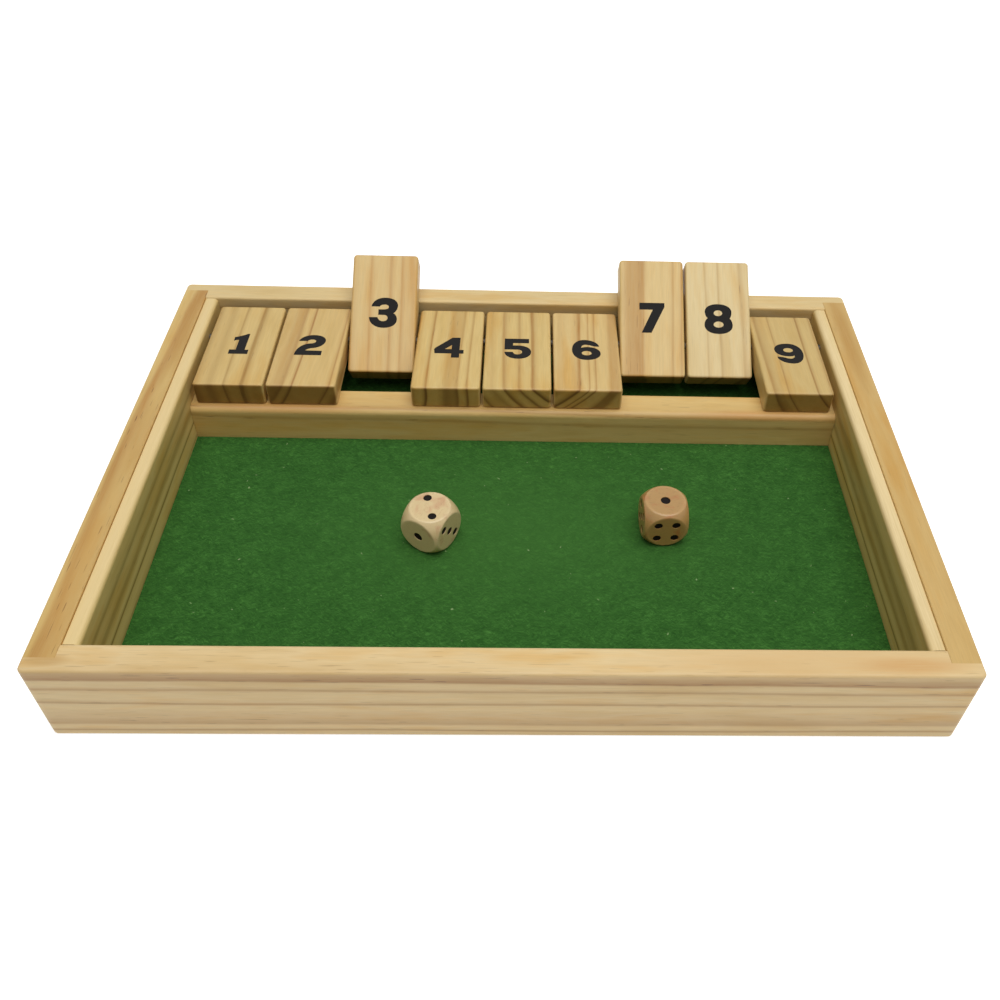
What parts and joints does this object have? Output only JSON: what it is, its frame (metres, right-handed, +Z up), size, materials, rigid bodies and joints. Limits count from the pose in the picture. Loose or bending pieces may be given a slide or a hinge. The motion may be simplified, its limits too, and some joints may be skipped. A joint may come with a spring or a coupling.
{
  "type": "shut the box game",
  "caption": "Shallow wooden tray game with a felt floor, numbered tiles flipped on a common rod behind a ledge, and loose wooden dice.",
  "frame": {"origin": "middle of the footprint on the surface the box stands on, raised tiles counted in", "axes": "+X to the right along the row of tiles, +Y to the back, +Z up"},
  "size_m": [0.29, 0.2038, 0.0522],
  "materials": {
    "rail_pine": "planed and lacquered pine, satin",
    "strip_pine": "planed and lacquered pine, satin",
    "tile_pine": "planed and lacquered pine, satin, end grain at both ends",
    "plywood": "thin plywood, sanded",
    "felt": "green needle felt",
    "rod_steel": "bright drawn steel",
    "ink": "matt black printing ink",
    "die_wood": "turned beech, tumbled smooth",
    "pip_paint": "black paint"
  },
  "bodies": {
    "box": {"front_rail": "rail_pine", "back_rail": "rail_pine", "left_rail": "rail_pine", "right_rail": "rail_pine", "left_strip": "strip_pine", "right_strip": "strip_pine", "partition": "strip_pine", "base_panel": "plywood", "felt_mat": "felt", "pivot_rod": "rod_steel"},
    "tile_1": {"tile_1": "tile_pine", "number_1": "ink"},
    "tile_2": {"tile_2": "tile_pine", "number_2": "ink"},
    "tile_3": {"tile_3": "tile_pine", "number_3": "ink"},
    "tile_4": {"tile_4": "tile_pine", "number_4": "ink"},
    "tile_5": {"tile_5": "tile_pine", "number_5": "ink"},
    "tile_6": {"tile_6": "tile_pine", "number_6": "ink"},
    "tile_7": {"tile_7": "tile_pine", "number_7": "ink"},
    "tile_8": {"tile_8": "tile_pine", "number_8": "ink"},
    "tile_9": {"tile_9": "tile_pine", "number_9": "ink"},
    "die_left": {"die_left": "die_wood", "die_left_pips": "pip_paint"},
    "die_right": {"die_right": "die_wood", "die_right_pips": "pip_paint"}
  },
  "joints": [
    {"name": "tile_1_flip", "type": "hinge", "parent": "box", "child": "tile_1", "pos_m": [0, 0.06888, 0.02805], "axis": [-1, 0, 0], "range_deg": [0, 146.46]},
    {"name": "tile_2_flip", "type": "hinge", "parent": "box", "child": "tile_2", "pos_m": [0, 0.06888, 0.02805], "axis": [-1, 0, 0], "range_deg": [0, 146.46]},
    {"name": "tile_3_flip", "type": "hinge", "parent": "box", "child": "tile_3", "pos_m": [0, 0.06888, 0.02805], "axis": [-1, 0, 0], "range_deg": [-146.46, 0]},
    {"name": "tile_4_flip", "type": "hinge", "parent": "box", "child": "tile_4", "pos_m": [0, 0.06888, 0.02805], "axis": [-1, 0, 0], "range_deg": [0, 146.46]},
    {"name": "tile_5_flip", "type": "hinge", "parent": "box", "child": "tile_5", "pos_m": [0, 0.06888, 0.02805], "axis": [-1, 0, 0], "range_deg": [0, 146.46]},
    {"name": "tile_6_flip", "type": "hinge", "parent": "box", "child": "tile_6", "pos_m": [0, 0.06888, 0.02805], "axis": [-1, 0, 0], "range_deg": [0, 146.46]},
    {"name": "tile_7_flip", "type": "hinge", "parent": "box", "child": "tile_7", "pos_m": [0, 0.06888, 0.02805], "axis": [-1, 0, 0], "range_deg": [-146.46, 0]},
    {"name": "tile_8_flip", "type": "hinge", "parent": "box", "child": "tile_8", "pos_m": [0, 0.06888, 0.02805], "axis": [-1, 0, 0], "range_deg": [-146.46, 0]},
    {"name": "tile_9_flip", "type": "hinge", "parent": "box", "child": "tile_9", "pos_m": [0, 0.06888, 0.02805], "axis": [-1, 0, 0], "range_deg": [0, 146.46]},
    {"name": "die_left_lift", "type": "slide", "parent": "box", "child": "die_left", "axis": [0, 0, 1], "range_m": [0, 0.06]},
    {"name": "die_right_lift", "type": "slide", "parent": "box", "child": "die_right", "axis": [0, 0, 1], "range_m": [0, 0.06]}
  ]
}
